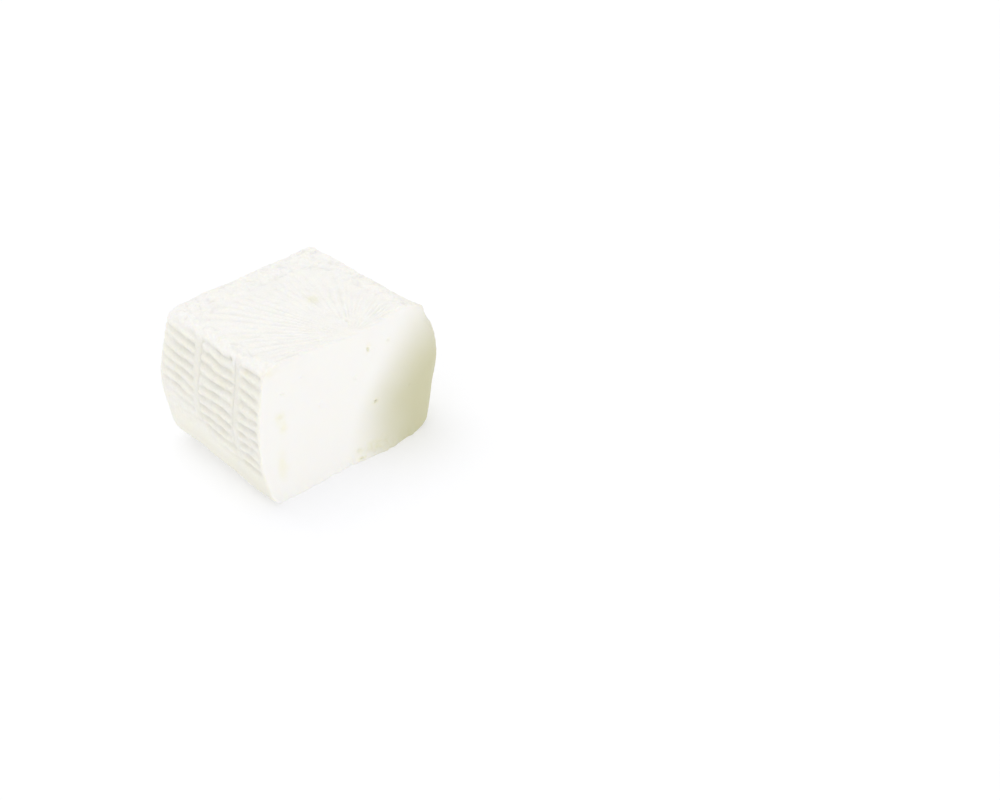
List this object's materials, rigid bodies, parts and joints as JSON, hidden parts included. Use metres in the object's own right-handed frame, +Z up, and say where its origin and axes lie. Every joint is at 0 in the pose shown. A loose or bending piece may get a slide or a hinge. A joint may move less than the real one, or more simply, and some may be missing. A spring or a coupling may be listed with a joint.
{
  "type": "primosale cheese",
  "caption": "Cut piece of a fresh white basket-moulded cheese, with ridged walls, a star-shaped print on the top and one smooth knife-cut face.",
  "frame": {"origin": "middle of the outline's box, on the plane of the flat underside", "axes": "+Z up out of the printed top, -Y out of the knife-cut face, -X out of the ridged wall that the picture shows, +X out of the wall whose front end bulges"},
  "size_m": [0.0886, 0.07, 0.0584],
  "materials": {
    "curd": "soft moist white curd, faintly glossy and translucent, slightly yellow in grooves and pits"
  },
  "bodies": {
    "root": {"cheese": "curd"}
  },
  "joints": []
}
